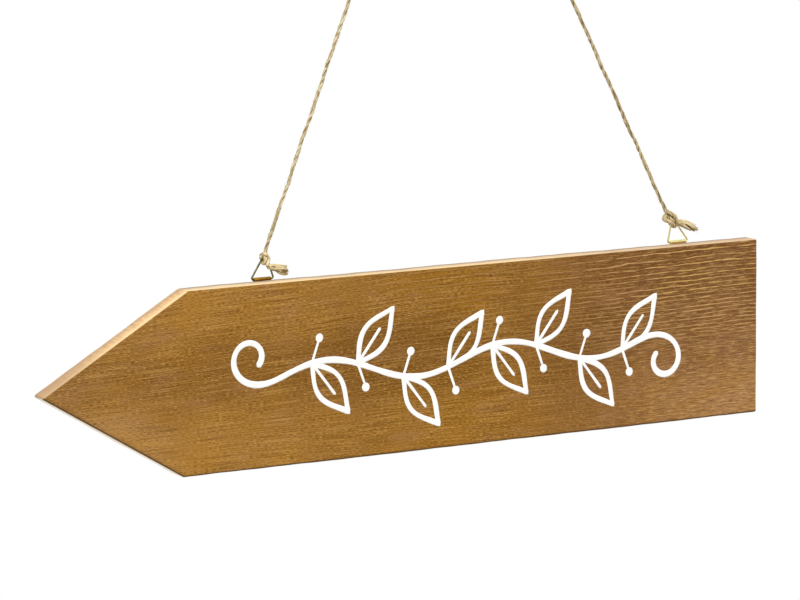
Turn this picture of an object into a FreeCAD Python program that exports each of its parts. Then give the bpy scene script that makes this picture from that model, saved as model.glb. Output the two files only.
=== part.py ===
"""Hanging sign: an arrow-shaped wooden board on two triangle-ring hangers and one knotted twine.

Millimetres. +X runs along the board away from its point, +Y to its back, +Z up. The origin is the
seat of the twine's bight, where a peg, hook or rail carries the whole sign.
"""
import FreeCAD, Part
import math
import os

Vector = FreeCAD.Vector

# Board
board_length = 386.0          # point to square end
board_height = 85.0
board_thickness = 9.0
upper_cut_run = 73.5          # how far back the upper slanting cut reaches from the point
lower_cut_run = 70.5          # the lower cut is a little shorter, as sawn by hand
board_edge_round = 0.6        # sanded arrises
square_end_x = 164.5          # square end, measured from the hanging line

# Hangers: a strap of folded sheet holding a ring of bent wire, screwed to the board's back
hanger_spacing = 229.0
end_to_hanger = 39.5          # square end to the right hanger's middle
ring_axis_drop = 201.5        # bight's seat to the rings' hinge line
axis_above_edge = 0.5         # hinge line above the board's top edge
sheet = 0.55
strap_width = 8.6
strap_curl_deg = 290.0        # how far the strap's end is rolled round the wire
wire = 0.8                    # across the corners of its sides
wire_sides = 8                # the round wire is drawn with eight sides, which keeps its bends light
knuckle_clearance = 0.08      # running clearance of the wire in the rolled knuckle
ring_end_play = 0.3           # how far the ring can slide each way from the middle of the knuckle
ring_side_gap = 0.05          # left at the end of the knuckle that the ring is pulled to
ring_height = 10.0            # hinge line to the wire's middle at the top bend
ring_corner_bend = 0.85       # bend radii of the wire's middle line
ring_top_bend = 1.6
ring_butt_gap = 0.3           # the wire's two ends face each other inside the knuckle

# Screws
screw_drop = 11.0             # hinge line to the screw's middle
screw_diameter = 2.4
screw_length = 7.0            # below the head's seat
screw_tip = 2.2
screw_head_diameter = 4.6
screw_head_height = 1.3
screw_slot_width = 0.7
screw_slot_depth = 0.7
screw_slot_length = 2.8
screw_hole_clearance = 0.2    # radial, in the strap
pilot_clearance = 0.05        # radial, in the board
pilot_tip_room = 0.5

# Twine and its knots
twine = 2.0
strand_sink = 1.2             # how far the twine reaches into its knot
knot_clearance = 0.05         # round the ring's wire
knot_end_slope = 1.2          # how far a knot's rounded ends are cut back
arc_share = 0.45              # part of the shorter run that a bend of the twine takes up

# Each side's ring leans and slides towards the pull of its strand, which is +1 or -1 along X.
# Offsets are (x, z) or (x, y, z), measured from the ring's top bend.
sides = {
    "left": {
        "pull": 1,
        "ring_lean": 1.5,
        "strand_from_ring": (-0.25, 2.4),
        "knot_below_ring": 3.8,
        "knot_radius": 3.0,
        "tail_start": (1.0, -1.0, -2.6),
        "tail_end": (12.1, -1.8, -7.1),
    },
    "right": {
        "pull": -1,
        "ring_lean": -2.4,
        "strand_from_ring": (-5.45, 5.0),
        "knot_below_ring": 1.7,
        "knot_radius": 2.8,
        "tail_start": (0.2, -1.0, 0.6),
        "tail_end": (14.9, -1.8, -4.6),
    },
}
tail_end_radius = 1.2         # the cut end is a little thicker than the twine

# Route of the bight over a round peg, between the two strands: (x, z)
bight_points = [(-27.8, -7.8), (-1.5, 3.8), (25.6, -5.8)]

# Places that follow from the sizes above
wire_radius = wire / 2
knuckle_inner = wire_radius + knuckle_clearance
knuckle_outer = knuckle_inner + sheet
axis_z = -ring_axis_drop
board_top = axis_z - axis_above_edge
board_bottom = board_top - board_height
board_back = -knuckle_outer
board_front = board_back - board_thickness
point_x = square_end_x - board_length
strap_back = board_back + sheet
screw_z = axis_z - screw_drop
hanger_x = {"right": square_end_x - end_to_hanger}
hanger_x["left"] = hanger_x["right"] - hanger_spacing
twine_radius = twine / 2


def flat_face(points):
    """A plane face inside a closed outline of straight edges."""
    return Part.Face(Part.makePolygon(points + points[:1]))


def swept_rod(path, section):
    """A rod of constant section along a path of lines and tangent arcs."""
    rod = path.makePipe(section)
    expected = section.Area * path.Length
    print(f"rod: length {path.Length:.2f}, volume {rod.Volume:.3f}, section times length {expected:.3f}")
    return rod


def swept_ring(path, radius):
    """A ring's wire, or the room for it. Its section is a regular polygon across the straight base."""
    start = path.Edges[0].valueAt(path.Edges[0].FirstParameter)
    angles = [2 * math.pi * (k + 0.5) / wire_sides for k in range(wire_sides)]
    section = flat_face([start + Vector(0, radius * math.cos(a), radius * math.sin(a)) for a in angles])
    return swept_rod(path, section)


def make_board():
    """Arrow board: two slanting saw cuts make the point, every arris is sanded, two blind pilot holes."""
    middle = (board_top + board_bottom) / 2
    outline = flat_face([
        Vector(point_x, board_front, middle),
        Vector(point_x + lower_cut_run, board_front, board_bottom),
        Vector(square_end_x, board_front, board_bottom),
        Vector(square_end_x, board_front, board_top),
        Vector(point_x + upper_cut_run, board_front, board_top),
    ])
    slab = outline.extrude(Vector(0, board_thickness, 0))
    slab = slab.makeFillet(board_edge_round, slab.Edges)
    hole_depth = screw_length - sheet + pilot_tip_room
    hole_radius = screw_diameter / 2 + pilot_clearance
    for x in hanger_x.values():
        mouth = Vector(x, board_back, screw_z)
        slab = slab.cut(Part.makeCylinder(hole_radius, hole_depth, mouth, Vector(0, -1, 0)))
    return slab


def make_strap(x):
    """Strap: a strip of sheet, its top rolled into a knuckle, its lower end rounded round the screw hole."""
    half_width = strap_width / 2
    low = screw_z - half_width
    end_angle = math.radians(180 - strap_curl_deg)
    mid_angle = math.radians(180 - strap_curl_deg / 2)

    def on_roll(radius, angle):
        return Vector(x - half_width, radius * math.cos(angle), axis_z + radius * math.sin(angle))

    start_out, start_in = on_roll(knuckle_outer, math.pi), on_roll(knuckle_inner, math.pi)
    end_out, end_in = on_roll(knuckle_outer, end_angle), on_roll(knuckle_inner, end_angle)
    foot_out = Vector(x - half_width, board_back, low)
    foot_in = Vector(x - half_width, strap_back, low)
    profile = Part.Wire([
        Part.LineSegment(foot_out, start_out).toShape(),
        Part.Arc(start_out, on_roll(knuckle_outer, mid_angle), end_out).toShape(),
        Part.LineSegment(end_out, end_in).toShape(),
        Part.Arc(end_in, on_roll(knuckle_inner, mid_angle), start_in).toShape(),
        Part.LineSegment(start_in, foot_in).toShape(),
        Part.LineSegment(foot_in, foot_out).toShape(),
    ])
    strip = Part.Face(profile).extrude(Vector(strap_width, 0, 0))

    reach = 2 * knuckle_outer + sheet
    height = axis_z + reach - screw_z
    plan = Part.makeBox(strap_width, 2 * reach, height, Vector(x - half_width, -reach, screw_z))
    plan = plan.fuse(Part.makeCylinder(half_width, 2 * reach, Vector(x, -reach, screw_z), Vector(0, 1, 0)))
    hole_radius = screw_diameter / 2 + screw_hole_clearance
    hole = Part.makeCylinder(hole_radius, 2 * reach, Vector(x, -reach, screw_z), Vector(0, 1, 0))
    return strip.common(plan).cut(hole)


def ring_path(side):
    """Middle line of a ring: a belt drawn round two corner bends and one top bend, open at its butt."""
    half_base = strap_width / 2 + ring_end_play
    slide = sides[side]["pull"] * (ring_end_play - ring_side_gap)
    bends = [
        (slide + half_base, ring_corner_bend, ring_corner_bend),
        (sides[side]["ring_lean"], ring_height - ring_top_bend, ring_top_bend),
        (slide - half_base, ring_corner_bend, ring_corner_bend),
    ]

    def place(across, up):
        return Vector(hanger_x[side] + across, 0, axis_z + up)

    def outward(first, second):
        """Unit normal of the outer tangent from one bend to the next, going round anticlockwise."""
        run_x, run_z = second[0] - first[0], second[1] - first[1]
        span = math.hypot(run_x, run_z)
        along = (first[2] - second[2]) / span
        aside = math.sqrt(1 - along ** 2)
        return ((run_x * along + run_z * aside) / span, (run_z * along - run_x * aside) / span)

    base = (0.0, -1.0)
    normals = [base, outward(bends[0], bends[1]), outward(bends[1], bends[2]), base]
    here = place(slide + ring_butt_gap / 2, 0)
    edges = []
    for (across, up, radius), before, after in zip(bends, normals[:-1], normals[1:]):
        middle = (before[0] + after[0], before[1] + after[1])
        size = math.hypot(*middle)
        start = place(across + radius * before[0], up + radius * before[1])
        top = place(across + radius * middle[0] / size, up + radius * middle[1] / size)
        end = place(across + radius * after[0], up + radius * after[1])
        edges.append(Part.LineSegment(here, start).toShape())
        edges.append(Part.Arc(start, top, end).toShape())
        here = end
    edges.append(Part.LineSegment(here, place(slide - ring_butt_gap / 2, 0)).toShape())
    return Part.Wire(edges)


def make_screw(x):
    """Round-head wood screw, turned about its own axis, with a cross slot in the head."""
    head_radius, radius = screw_head_diameter / 2, screw_diameter / 2

    def at(distance, depth):
        return Vector(x + distance, strap_back - depth, screw_z)

    dome = (screw_head_height ** 2 + head_radius ** 2) / (2 * screw_head_height)
    half_angle = math.asin(head_radius / dome) / 2
    crown, rim = at(0, -screw_head_height), at(head_radius, 0)
    shoulder = at(dome * math.sin(half_angle), dome * (1 - math.cos(half_angle)) - screw_head_height)
    half_section = Part.Wire([
        Part.Arc(crown, shoulder, rim).toShape(),
        Part.LineSegment(rim, at(radius, 0)).toShape(),
        Part.LineSegment(at(radius, 0), at(radius, screw_length - screw_tip)).toShape(),
        Part.LineSegment(at(radius, screw_length - screw_tip), at(0, screw_length)).toShape(),
        Part.LineSegment(at(0, screw_length), crown).toShape(),
    ])
    screw = Part.Face(half_section).revolve(at(0, 0), Vector(0, 1, 0), 360)
    slot_floor = strap_back + screw_head_height - screw_slot_depth
    for size_x, size_z in ((screw_slot_length, screw_slot_width), (screw_slot_width, screw_slot_length)):
        corner = Vector(x - size_x / 2, slot_floor, screw_z - size_z / 2)
        screw = screw.cut(Part.makeBox(size_x, screw_head_height, size_z, corner))
    return screw


def ring_top(side):
    """Middle of the wire at the top bend of one ring."""
    return Vector(hanger_x[side] + sides[side]["ring_lean"], 0, axis_z + ring_height)


def strand_start(side):
    """Where a taut strand comes out of its knot."""
    across, up = sides[side]["strand_from_ring"]
    return ring_top(side) + Vector(across, 0, up)


def rounded_route(points, share):
    """Straight runs joined by tangent arcs, each as large as its two runs allow. Prints the radii."""
    edges, here, radii = [], points[0], []
    for before, corner, after in zip(points, points[1:], points[2:]):
        back, ahead = before - corner, after - corner
        turn = math.pi - back.getAngle(ahead)
        setback = share * min(back.Length, ahead.Length)
        radius = setback / math.tan(turn / 2)
        start = corner + back.normalize() * setback
        end = corner + ahead.normalize() * setback
        inward = (back + ahead).normalize()
        middle = corner + inward * (radius / math.cos(turn / 2) - radius)
        edges.append(Part.LineSegment(here, start).toShape())
        edges.append(Part.Arc(start, middle, end).toShape())
        radii.append(round(radius, 1))
        here = end
    edges.append(Part.LineSegment(here, points[-1]).toShape())
    print("twine bends, radius of each:", radii)
    return Part.Wire(edges)


def make_twine():
    """One taut twine: up from the left knot, over the peg in a round bight, down to the right knot."""
    bight = [Vector(x, 0, z) for x, z in bight_points]
    ends = {}
    for side, neighbour in (("left", bight[0]), ("right", bight[-1])):
        start = strand_start(side)
        ends[side] = start - (neighbour - start).normalize() * strand_sink
    path = rounded_route([ends["left"]] + bight + [ends["right"]], arc_share)
    section = Part.Face(Part.Wire(Part.makeCircle(twine_radius, ends["left"], bight[0] - ends["left"])))
    return swept_rod(path, section)


def make_knot(side, twine_solid):
    """Outer shape of one knot round the ring's top bend, with the twine's short free end."""
    settings = sides[side]
    top, ring = strand_start(side), ring_top(side)
    down = (ring - top).normalize()
    length = (ring - top).Length + settings["knot_below_ring"]
    barrel = Part.makeCylinder(settings["knot_radius"], length, top, down)
    rims = [edge for edge in barrel.Edges if edge.Closed]
    barrel = barrel.makeChamfer(knot_end_slope, rims)

    tail_start = ring + Vector(*settings["tail_start"])
    tail = ring + Vector(*settings["tail_end"]) - tail_start
    knot = barrel.fuse(Part.makeCone(twine_radius, tail_end_radius, tail.Length, tail_start, tail))
    knot = knot.cut(twine_solid)
    wire_room = swept_ring(ring_path(side), wire_radius + knot_clearance)
    return knot.cut(wire_room)


parts = {"board": make_board(), "twine": make_twine()}
for side, x in hanger_x.items():
    parts[f"strap_{side}"] = make_strap(x)
    parts[f"ring_{side}"] = swept_ring(ring_path(side), wire_radius)
    parts[f"screw_{side}"] = make_screw(x)
    parts[f"knot_{side}"] = make_knot(side, parts["twine"])

os.makedirs("parts", exist_ok=True)
for name, shape in parts.items():
    box = shape.BoundBox
    low = f"{box.XMin:.2f}, {box.YMin:.2f}, {box.ZMin:.2f}"
    high = f"{box.XMax:.2f}, {box.YMax:.2f}, {box.ZMax:.2f}"
    print(f"{name}: valid {shape.isValid()}, solids {len(shape.Solids)}, volume {shape.Volume:.1f}")
    print(f"    [{low}] to [{high}]")
    shape.exportStep(f"parts/{name}.step")
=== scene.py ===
# %% [markdown]
# # Hanging arrow sign
# The real thing is a thin stained board sawn to an arrow, two small brass hangers screwed to its
# back, and one jute twine knotted to their rings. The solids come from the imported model, and this
# lesson dresses them. Lengths are in millimetres until a mesh is made, because that is how the sign
# would be measured on a bench. Materials read places in metres, as Blender holds them.

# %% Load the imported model
import math

import bmesh
import bpy
import numpy as np
from mathutils import Matrix, Vector


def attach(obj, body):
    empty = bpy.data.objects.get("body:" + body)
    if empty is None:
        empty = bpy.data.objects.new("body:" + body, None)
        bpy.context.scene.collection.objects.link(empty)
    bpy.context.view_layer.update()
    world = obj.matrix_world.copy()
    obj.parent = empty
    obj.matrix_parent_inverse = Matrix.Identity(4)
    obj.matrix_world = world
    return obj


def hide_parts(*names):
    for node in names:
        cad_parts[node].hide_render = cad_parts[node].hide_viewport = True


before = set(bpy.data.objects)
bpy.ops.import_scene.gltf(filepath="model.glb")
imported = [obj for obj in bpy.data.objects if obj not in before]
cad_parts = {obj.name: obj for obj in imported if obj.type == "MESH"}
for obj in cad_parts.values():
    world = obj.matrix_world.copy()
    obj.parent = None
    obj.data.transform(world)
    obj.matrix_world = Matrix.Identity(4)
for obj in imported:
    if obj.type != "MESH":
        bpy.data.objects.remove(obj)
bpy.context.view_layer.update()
MM = 0.001
chance = np.random.default_rng(27)
print("nodes:", sorted(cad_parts))

# %% [markdown]
# ## Camera
# The board's corners in the photograph fix the camera: a long lens, a little above the board and
# about thirty degrees to the left. A turn about Z, a tilt about X and a small roll say that plainly.


# %% Camera
def place_object(name, data):
    """A new object at the origin that shows the data."""
    made = bpy.data.objects.new(name, data)
    bpy.context.scene.collection.objects.link(made)
    return made


camera_place = Vector((-1062.13, -1741.17, 79.84)) * MM
turn_degrees, look_down_degrees, roll_degrees = -30.636, 8.347, -0.485
camera_data = bpy.data.cameras.new("photo_camera")
camera_data.sensor_width = 36.0
camera_data.lens = 198.0
camera_data.clip_start = 0.05
camera = place_object("photo_camera", camera_data)
turn = Matrix.Rotation(math.radians(turn_degrees), 4, "Z")
tilt = Matrix.Rotation(math.radians(90 - look_down_degrees), 4, "X")
roll = Matrix.Rotation(math.radians(roll_degrees), 4, "Z")
camera.matrix_world = Matrix.Translation(camera_place) @ turn @ tilt @ roll
bpy.context.scene.camera = camera
print("camera stands", round(camera_place.length, 3), "m from the bight")

# %% [markdown]
# ## Meshes from arrays
# Every new piece is a grid of points worked out with numpy: a surface of two parameters, or a
# section carried along a path. A few small helpers turn such grids into Blender meshes.


# %% Grids of faces
def grid_faces(rows, columns, wrap=False):
    """Quads of a grid of points. Face (r, c) joins points (r, c), (r, c+1), (r+1, c+1) and (r+1, c)."""
    row = np.arange(rows - 1)[:, None] * columns
    column = np.arange(columns if wrap else columns - 1)[None, :]
    beside = (column + 1) % columns
    low, high = row, row + columns
    return np.stack([low + column, low + beside, high + beside, high + column], axis=-1).reshape(-1, 4)


def tube_faces(rings, sides):
    """Faces of a tube: a grid that wraps round, and a cap on each end that faces outwards."""
    last = (rings - 1) * sides
    caps = [list(range(sides))[::-1], list(range(last, last + sides))]
    return grid_faces(rings, sides, wrap=True).tolist() + caps


def joined(shells):
    """Shells of (points, faces) as one: points in a row, and each shell's faces counted on from there."""
    points, faces, first = [], [], 0
    for shell_points, shell_faces in shells:
        points.append(shell_points)
        faces += [[corner + first for corner in face] for face in shell_faces]
        first += len(shell_points)
    return np.concatenate(points), faces


print("a grid of 3 by 4 points has", len(grid_faces(3, 4)), "faces")


# %% Arrays along a path
def unit(vectors):
    """Each vector divided by its length."""
    return vectors / np.linalg.norm(vectors, axis=-1, keepdims=True)


def run_length(path):
    """How far each point lies along a path: the running sum of the steps between points."""
    return np.r_[0, np.cumsum(np.linalg.norm(np.diff(path, axis=0), axis=1))]


def circle_angles(count):
    """Even angles once round a circle."""
    return np.linspace(0, 2 * np.pi, count, endpoint=False)


def soft_step(low, high, value):
    """0 below low, 1 above high, and 3t^2 - 2t^3 between them."""
    t = np.clip((value - low) / (high - low), 0, 1)
    return t * t * (3 - 2 * t)


print("a soft step is", soft_step(0, 1, 0.25), "a quarter of the way")


# %% Meshes
def add_attribute(mesh, label, values):
    """Stores one float, or one vector, for each point of a mesh."""
    values = np.asarray(values, np.float32)
    kind, field = ("FLOAT", "value") if values.ndim == 1 else ("FLOAT_VECTOR", "vector")
    mesh.attributes.new(label, kind, "POINT").data.foreach_set(field, values.ravel())


def mesh_points(mesh):
    """The points of a mesh as one array, in the mesh's own unit."""
    points = np.empty(len(mesh.vertices) * 3)
    mesh.vertices.foreach_get("co", points)
    return points.reshape(-1, 3)


def make_piece(name, points, faces, material, attributes=None, weld=False):
    """A mesh object at the origin. Points are in millimetres; attributes hold a value or vector per point."""
    mesh = bpy.data.meshes.new(name)
    mesh.from_pydata((np.asarray(points) * MM).tolist(), [], [list(map(int, face)) for face in faces])
    if weld:
        shell = bmesh.new()
        shell.from_mesh(mesh)
        bmesh.ops.remove_doubles(shell, verts=shell.verts, dist=1e-6)
        bmesh.ops.recalc_face_normals(shell, faces=shell.faces)
        shell.to_mesh(mesh)
        shell.free()
    for label, values in (attributes or {}).items():
        add_attribute(mesh, label, values)
    mesh.polygons.foreach_set("use_smooth", np.ones(len(mesh.polygons), bool))
    mesh.materials.append(material)
    print(f"{name}: {len(mesh.vertices)} points, {len(mesh.polygons)} faces")
    return place_object(name, mesh)


# %% [markdown]
# ## Shader helpers
# The materials are node trees. One function adds a node and fills its inputs, with a number or with
# another node's output, so a material reads like a list of steps. Colours are written as they look
# on a screen, and turned into the linear values that the renderer uses.


# %% Node helpers
def linear(colour):
    """A screen colour of 0 to 255 as linear RGBA, and a node's output as it is. Each part v of 0 to 1 becomes
    ((v + 0.055) / 1.055) ^ 2.4 above the toe, v / 12.92 below it."""
    if isinstance(colour, bpy.types.NodeSocket):
        return colour
    parts = [value / 255 for value in colour]
    return (*[((v + 0.055) / 1.055) ** 2.4 if v > 0.04045 else v / 12.92 for v in parts], 1.0)


def add_node(tree, kind, inputs=None, **settings):
    """One node, its settings, and its inputs: a socket is linked, and anything else is its value."""
    made = tree.nodes.new(kind)
    for label, value in settings.items():
        setattr(made, label, value)
    for label, value in (inputs or {}).items():
        if isinstance(value, bpy.types.NodeSocket):
            tree.links.new(value, made.inputs[label])
        else:
            made.inputs[label].default_value = value
    return made


def calculate(tree, operation, first, second=0.5, third=0.5):
    """One Math node."""
    return add_node(tree, "ShaderNodeMath", {0: first, 1: second, 2: third}, operation=operation).outputs[0]


def times(tree, first, second):
    """One value times another."""
    return calculate(tree, "MULTIPLY", first, second)


def times_plus(tree, first, factor, plus):
    """A value times a factor, and then something added."""
    return calculate(tree, "MULTIPLY_ADD", first, factor, plus)


def spread(tree, value, low, high, out_low=0.0, out_high=1.0):
    """A value between low and high, spread smoothly from out_low to out_high."""
    inputs = {0: value, 1: low, 2: high, 3: out_low, 4: out_high}
    return add_node(tree, "ShaderNodeMapRange", inputs, interpolation_type="SMOOTHSTEP").outputs[0]


print("a screen grey of 128 is", round(linear((128, 128, 128))[0], 3), "in linear light")


# %% Colour helpers
def mix_colours(tree, share, first, second, blend="MIX"):
    """The first colour where share is 0, the second where it is 1."""
    inputs = {0: share, 6: linear(first), 7: linear(second)}
    return add_node(tree, "ShaderNodeMix", inputs, data_type="RGBA", blend_type=blend).outputs[2]


def tint(tree, base, colour, value, low, high, share=1.0, blend="MIX"):
    """The base where the value is at low, going over to a share of the colour where it is at high."""
    return mix_colours(tree, spread(tree, value, low, high, 0.0, share), base, colour, blend)


def ramp(tree, share, *stops):
    """A value spread over colours: each stop is (place, screen colour)."""
    made = add_node(tree, "ShaderNodeValToRGB", {0: share})
    elements = made.color_ramp.elements
    elements.remove(elements[1])
    for place, colour in stops:
        elements.new(place).color = linear(colour)
    elements.remove(elements[0])
    return made.outputs[0]


# %% Places, values and shaders
def read_attribute(tree, label, output="Fac"):
    """A value that the mesh carries for each point."""
    return add_node(tree, "ShaderNodeAttribute", attribute_name=label).outputs[output]


def object_place(tree):
    """Where a point lies in the sign's own frame, in metres."""
    return add_node(tree, "ShaderNodeTexCoord").outputs["Object"]


def parts_of(tree, vector):
    """The three parts of a vector."""
    return add_node(tree, "ShaderNodeSeparateXYZ", {0: vector}).outputs


def begin_material(name, roughness, metallic=0.0, specular=0.5):
    """A material with its shader and the constant values set on it."""
    material = bpy.data.materials.new(name)
    material.use_nodes = True
    shader = material.node_tree.nodes["Principled BSDF"]
    shader.inputs["Roughness"].default_value = roughness
    shader.inputs["Metallic"].default_value = metallic
    shader.inputs["Specular IOR Level"].default_value = specular
    print("material:", name)
    return material, material.node_tree, shader


def add_bump(tree, shader, height, strength, distance):
    """Fine relief: the height, in metres times distance, tilts the normal."""
    inputs = {"Strength": strength, "Distance": distance, "Height": height}
    tree.links.new(add_node(tree, "ShaderNodeBump", inputs).outputs[0], shader.inputs["Normal"])


# %% [markdown]
# ### Shared effects
# Wood, paint and jute all show streaks that run one way, so one node group makes them: it stretches
# the place along the fibres and reads a noise there. A second group gives metals their dull patches.


# %% Node groups
def begin_group(name, inputs, outputs):
    """An empty shader group with named sockets: (label, socket type, default)."""
    tree = bpy.data.node_groups.new(name, "ShaderNodeTree")
    for label, kind, default in inputs:
        tree.interface.new_socket(label, in_out="INPUT", socket_type=kind).default_value = default
    for label, kind in outputs:
        tree.interface.new_socket(label, in_out="OUTPUT", socket_type=kind)
    return tree, tree.nodes.new("NodeGroupInput").outputs, tree.nodes.new("NodeGroupOutput").inputs


def add_noise(tree, place, scale, detail, roughness=0.5):
    """Noise of 0 to 1, with finer layers added: detail says how many, and roughness how strong they are."""
    inputs = {"Vector": place, "Scale": scale, "Detail": detail, "Roughness": roughness}
    return add_node(tree, "ShaderNodeTexNoise", inputs).outputs["Fac"]


def make_streak_group():
    """Streaks: noise of (place x stretch), where a small stretch along the fibres draws it out."""
    tree, given, result = begin_group(
        "fibre_streaks",
        [("Place", "NodeSocketVector", (0, 0, 0)), ("Stretch", "NodeSocketVector", (1, 1, 1))],
        [("Streak", "NodeSocketFloat")],
    )
    inputs = {0: given["Place"], 1: given["Stretch"]}
    stretched = add_node(tree, "ShaderNodeVectorMath", inputs, operation="MULTIPLY").outputs[0]
    tree.links.new(add_noise(tree, stretched, 1.0, 2.0, roughness=0.55), result["Streak"])
    return tree


def make_dulling_group():
    """Dull patches: broad noise, sharpened, plus a share of fine noise."""
    tree, given, result = begin_group(
        "metal_dulling",
        [("Place", "NodeSocketVector", (0, 0, 0)), ("Patch", "NodeSocketFloat", 600.0)],
        [("Dull", "NodeSocketFloat")],
    )
    broad = add_noise(tree, given["Place"], given["Patch"], 3.0)
    fine = add_noise(tree, given["Place"], times(tree, given["Patch"], 6.0), 2.0)
    tree.links.new(times_plus(tree, fine, 0.35, spread(tree, broad, 0.4, 0.65)), result["Dull"])
    return tree


fibre_streaks = make_streak_group()
metal_dulling = make_dulling_group()
print("groups:", fibre_streaks.name, metal_dulling.name)


# %% Groups placed in a material
def streaks(tree, place, stretch):
    """The streak group in a material."""
    inputs = {"Place": place, "Stretch": stretch}
    return add_node(tree, "ShaderNodeGroup", inputs, node_tree=fibre_streaks).outputs["Streak"]


def dulling(tree, patch):
    """The dull-patch group in a material."""
    inputs = {"Place": object_place(tree), "Patch": patch}
    return add_node(tree, "ShaderNodeGroup", inputs, node_tree=metal_dulling).outputs["Dull"]


# %% [markdown]
# ## Studio
# The sign hangs in front of white, lit softly from above. The surroundings are white to the camera
# and in reflections, and dimmer as a light, so colours render as they are written. The floor lies
# below the view, pale and plain, and fades out at its rim.


# %% Floor, light and surroundings
def make_floor(height, radius, rows=9, columns=64):
    """A disc: row r lies at radius * r / (rows - 1) from the middle, and column c at its own angle."""
    share, angle = np.meshgrid(np.linspace(0, 1, rows), circle_angles(columns), indexing="ij")
    out = radius * share
    points = np.stack([out * np.cos(angle), out * np.sin(angle), np.full_like(share, height)], -1)
    material, tree, shader = begin_material("pale_floor", 0.9)
    shader.inputs["Base Color"].default_value = (0.91, 0.91, 0.90, 1)
    reach = add_node(tree, "ShaderNodeVectorMath", {0: object_place(tree)}, operation="LENGTH")
    tree.links.new(spread(tree, reach.outputs["Value"], 1.1, 0.8), shader.inputs["Alpha"])
    faces = grid_faces(rows, columns, wrap=True)
    floor = make_piece("floor", points.reshape(-1, 3), faces, material, weld=True)


def make_surroundings(ambient):
    """White where the camera, a reflection or a see-through ray looks, and an even dim light elsewhere."""
    world = bpy.data.worlds.new("white_surroundings")
    world.use_nodes = True
    tree = world.node_tree
    tree.nodes.clear()
    path = add_node(tree, "ShaderNodeLightPath").outputs
    seen = calculate(tree, "MAXIMUM", path["Is Camera Ray"], path["Is Glossy Ray"])
    seen = calculate(tree, "MAXIMUM", seen, path["Is Transmission Ray"])
    light, white = (
        add_node(tree, "ShaderNodeBackground", {"Color": (1, 1, 1, 1), "Strength": strength}).outputs[0]
        for strength in (ambient, 1.0)
    )
    mixed = add_node(tree, "ShaderNodeMixShader", {0: seen, 1: light, 2: white}).outputs[0]
    add_node(tree, "ShaderNodeOutputWorld", {"Surface": mixed})
    bpy.context.scene.world = world


def make_key_light(towards, strength, spread_degrees):
    """A soft sun that shines from the direction given."""
    data = bpy.data.lights.new("soft_key", "SUN")
    data.energy = strength
    data.angle = math.radians(spread_degrees)
    light = place_object("soft_key", data)
    light.rotation_euler = Vector(towards).to_track_quat("Z", "Y").to_euler()


make_floor(height=-620.0, radius=1100.0)
make_surroundings(ambient=0.5)
make_key_light(towards=(-0.30, -0.60, 0.75), strength=2.6, spread_degrees=30)
bpy.context.scene.view_settings.view_transform = "Standard"
print("studio ready")

# %% [markdown]
# ## Twine
# The sign hangs from one laid jute twine of two plies. Its taut run goes up from the left knot, over a
# round peg and down to the right knot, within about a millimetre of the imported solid. A few control
# points draw a smooth NURBS line, which is the route, and both plies are wound about it as ovals.


# %% Route of the twine
def route_points(name, controls, spacing):
    """Points at even steps along a quadratic NURBS line, which starts and ends at its end controls and is
    drawn towards the others. They are read from the curve itself."""
    curve = bpy.data.curves.new(name, "CURVE")
    curve.dimensions = "3D"
    spline = curve.splines.new("NURBS")
    spline.points.add(len(controls) - 1)
    spline.points.foreach_set("co", np.c_[np.asarray(controls, float), np.ones(len(controls))].ravel())
    spline.order_u = 3
    spline.use_endpoint_u = True
    spline.resolution_u = 60
    holder = place_object(name, curve)
    bpy.context.view_layer.update()
    line = bpy.data.meshes.new_from_object(holder)
    points = mesh_points(line)
    bpy.data.objects.remove(holder)
    bpy.data.curves.remove(curve)
    bpy.data.meshes.remove(line)
    run = run_length(points)
    even = np.linspace(0, run[-1], max(2, round(run[-1] / spacing)))
    print(f"{name}: {run[-1]:.2f} mm along {len(controls)} control points")
    return np.stack([np.interp(even, run, points[:, k]) for k in range(3)], axis=-1)


strand_controls = [
    (-102.72, 0, -190.21),
    (-39.63, 0, -34.33),
    (-28.4, 0, -7.8),
    (-1.5, 0, 3.8),
    (25.9, 0, -5.8),
    (39.02, 0, -31.45),
    (118.75, 0, -187.57),
]
strand_path = route_points("twine_route", strand_controls, spacing=0.5)


# %% Plies wound about a path
def carried_frame(path):
    """Directions along a path: its tangent, a side vector that loses only its part along the tangent at
    each step, so it never spins, and the cross product of both."""
    tangents = unit(np.gradient(path, axis=0))
    side = np.cross(tangents[0], (0.31, 0.87, 0.38))
    sides = np.empty_like(path)
    for step, tangent in enumerate(tangents):
        side = side - tangent * (side @ tangent)
        side = side / np.linalg.norm(side)
        sides[step] = side
    return tangents, sides, np.cross(tangents, sides)


def slow_waves(length, seed, *waves):
    """A sum of sine waves along a length, each given as (height, stretch), with seeded phases."""
    phases = np.random.default_rng(seed).uniform(0, 2 * np.pi, len(waves))
    return sum(height * np.sin(length / stretch + phase) for (height, stretch), phase in zip(waves, phases))


# The streaks run through untwisted plies: their fibres' pitch, their radius and how far apart they lie
fibre_pitch, ply_radius, ply_apart = 7.0, 0.6, 9.0


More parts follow.
